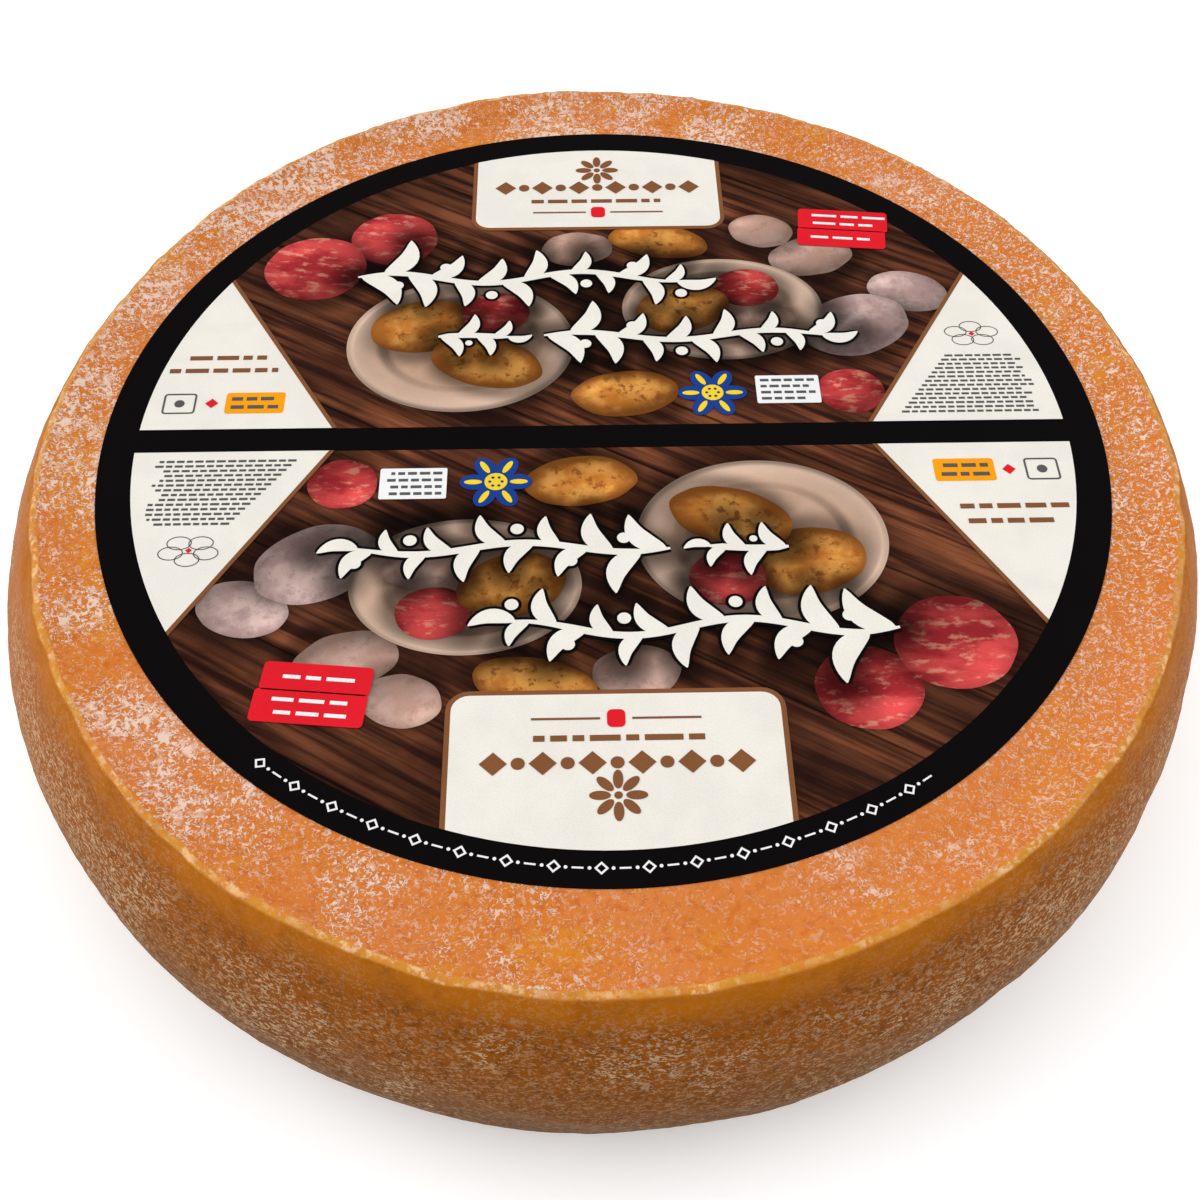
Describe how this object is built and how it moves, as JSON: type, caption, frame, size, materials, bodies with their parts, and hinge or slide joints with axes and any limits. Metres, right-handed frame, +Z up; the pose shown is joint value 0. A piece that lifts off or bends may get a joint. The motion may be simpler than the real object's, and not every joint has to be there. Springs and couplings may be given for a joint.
{
  "type": "raclette cheese wheel",
  "caption": "Whole round of washed-rind melting cheese: flat foot, bulging side, a narrow raised ridge round the top, and a round printed paper label on the top.",
  "frame": {"origin": "middle of the flat bottom", "axes": "+Z up, out of the labelled top; -Y towards the viewer of the picture, +X to the viewer's right"},
  "size_m": [0.3042, 0.3108, 0.076],
  "materials": {
    "rind": "slightly moist washed rind, orange with white bloom, yellow worn ridge, brown lower side",
    "label_paper": null
  },
  "bodies": {
    "root": {"cheese_wheel": "rind", "label": "label_paper"}
  },
  "joints": []
}
